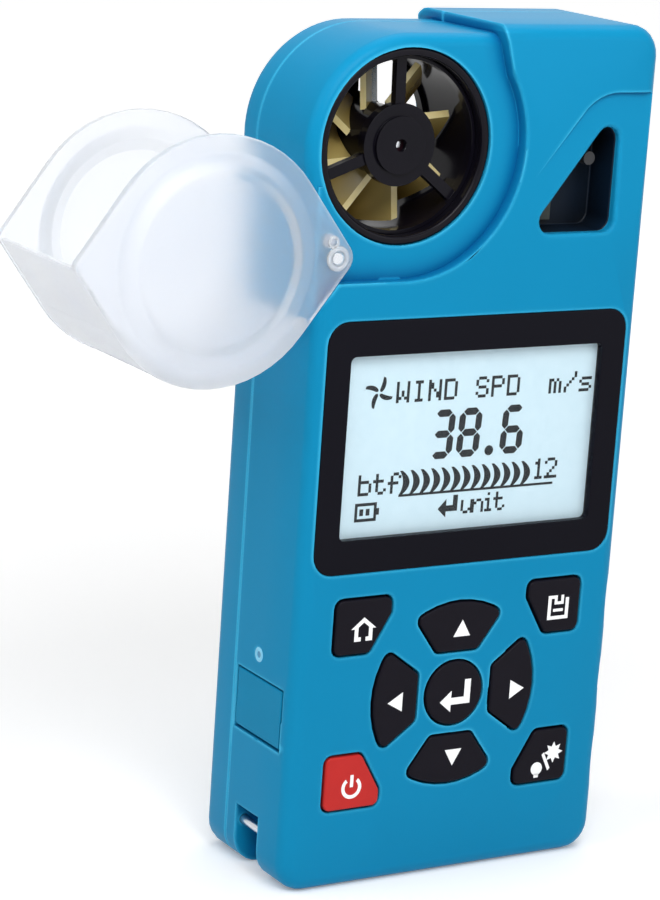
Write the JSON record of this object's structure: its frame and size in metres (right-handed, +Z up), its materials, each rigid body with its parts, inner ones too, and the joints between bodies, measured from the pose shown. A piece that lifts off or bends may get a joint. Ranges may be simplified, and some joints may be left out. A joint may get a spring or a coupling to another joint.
{
  "type": "vane anemometer",
  "caption": "Handheld vane anemometer: slab case with a ducted impeller under a swing-over clear cap, a display, a keypad and a sensor bay.",
  "frame": {"origin": "middle of the flat base of the case", "axes": "+X to the right across the front face, +Y from the front face to the back, +Z up"},
  "size_m": [0.1047, 0.0302, 0.142],
  "materials": {
    "case_plastic": "fine satin moulded ABS",
    "flap_rubber": "matte elastomer",
    "black_plastic": "satin moulded",
    "bezel_plastic": "smooth moulded",
    "key_rubber": "coated silicone",
    "power_key_rubber": "coated silicone",
    "seal_rubber": "matte",
    "rotor_plastic": "tinted translucent",
    "cap_plastic": "milky clear polycarbonate",
    "pane_plastic": "clear",
    "display_glass": "reflective liquid crystal panel",
    "light_guide": "diffuse white",
    "board": "solder mask",
    "flex": "polyimide film",
    "chip_plastic": "moulded epoxy",
    "ceramic": "glazed",
    "steel": "bright",
    "screw_steel": "zinc plated",
    "magnet": "nickel plated",
    "jewel": "polished synthetic ruby",
    "brass": "turned",
    "cell_sleeve": "printed film over steel",
    "lamp_plastic": "diffused lens"
  },
  "bodies": {
    "case": {"front_shell": "case_plastic", "rear_shell": "case_plastic", "case_gasket": "seal_rubber", "case_screws": "screw_steel", "impeller_duct": "black_plastic", "front_bridge": "black_plastic", "rear_bridge": "black_plastic", "jewel_bearings": "jewel", "hall_sensor": "chip_plastic", "cap_pivot_pin": "steel", "cap_detent": "steel", "display_bezel": "bezel_plastic", "display_pane": "pane_plastic", "display_glass": "display_glass", "display_backlight": "light_guide", "display_ribbon": "flex", "main_board": "board", "dome_switches": "steel", "keypad_seal": "seal_rubber", "processor": "chip_plastic", "pressure_sensor": "steel", "radio_module": "steel", "buzzer": "chip_plastic", "sensor_bay": "black_plastic", "temperature_sensor": "brass", "humidity_sensor": "ceramic", "battery_tray": "black_plastic", "batteries": "cell_sleeve", "battery_contacts": "steel", "door_hinge_pin": "steel", "tripod_bush": "brass", "strap_bar": "steel", "flap_pin": "steel", "charging_port": "steel", "charging_lamp": "lamp_plastic"},
    "impeller": {"rotor": "rotor_plastic", "rotor_shaft": "steel", "rotor_magnets": "magnet"},
    "cap": {"flip_cap": "cap_plastic"},
    "door": {"battery_door": "case_plastic", "door_screw": "screw_steel"},
    "flap": {"port_flap": "flap_rubber"},
    "enter_key_body": {"enter_key": "key_rubber"},
    "up_key_body": {"up_key": "key_rubber"},
    "down_key_body": {"down_key": "key_rubber"},
    "left_key_body": {"left_key": "key_rubber"},
    "right_key_body": {"right_key": "key_rubber"},
    "home_key_body": {"home_key": "key_rubber"},
    "save_key_body": {"save_key": "key_rubber"},
    "power_key_body": {"power_key": "power_key_rubber"},
    "lamp_key_body": {"lamp_key": "key_rubber"}
  },
  "joints": [
    {"name": "cap_hinge", "type": "hinge", "parent": "case", "child": "cap", "pos_m": [-0.0284, 0, 0.1057], "axis": [0, 1, 0], "range_deg": [0, 127.9]},
    {"name": "impeller_spin", "type": "hinge", "parent": "case", "child": "impeller", "pos_m": [-0.0153, 0, 0.1225], "axis": [0, 1, 0], "continuous": true},
    {"name": "door_hinge", "type": "hinge", "parent": "case", "child": "door", "pos_m": [0, 0.0121, 0.0076], "axis": [-1, 0, 0], "range_deg": [0, 95]},
    {"name": "flap_hinge", "type": "hinge", "parent": "case", "child": "flap", "pos_m": [-0.0303, 0, 0.0247], "axis": [0, -1, 0], "range_deg": [0, 95]},
    {"name": "enter_key_press", "type": "slide", "parent": "case", "child": "enter_key_body", "axis": [0, 1, 0], "range_m": [0, 0.0006], "stiffness_N_per_m": 1500, "springref_m": -0.0003},
    {"name": "up_key_press", "type": "slide", "parent": "case", "child": "up_key_body", "axis": [0, 1, 0], "range_m": [0, 0.0006], "stiffness_N_per_m": 1500, "springref_m": -0.0003},
    {"name": "down_key_press", "type": "slide", "parent": "case", "child": "down_key_body", "axis": [0, 1, 0], "range_m": [0, 0.0006], "stiffness_N_per_m": 1500, "springref_m": -0.0003},
    {"name": "left_key_press", "type": "slide", "parent": "case", "child": "left_key_body", "axis": [0, 1, 0], "range_m": [0, 0.0006], "stiffness_N_per_m": 1500, "springref_m": -0.0003},
    {"name": "right_key_press", "type": "slide", "parent": "case", "child": "right_key_body", "axis": [0, 1, 0], "range_m": [0, 0.0006], "stiffness_N_per_m": 1500, "springref_m": -0.0003},
    {"name": "home_key_press", "type": "slide", "parent": "case", "child": "home_key_body", "axis": [0, 1, 0], "range_m": [0, 0.0006], "stiffness_N_per_m": 1500, "springref_m": -0.0003},
    {"name": "save_key_press", "type": "slide", "parent": "case", "child": "save_key_body", "axis": [0, 1, 0], "range_m": [0, 0.0006], "stiffness_N_per_m": 1500, "springref_m": -0.0003},
    {"name": "power_key_press", "type": "slide", "parent": "case", "child": "power_key_body", "axis": [0, 1, 0], "range_m": [0, 0.0006], "stiffness_N_per_m": 1500, "springref_m": -0.0003},
    {"name": "lamp_key_press", "type": "slide", "parent": "case", "child": "lamp_key_body", "axis": [0, 1, 0], "range_m": [0, 0.0006], "stiffness_N_per_m": 1500, "springref_m": -0.0003}
  ]
}
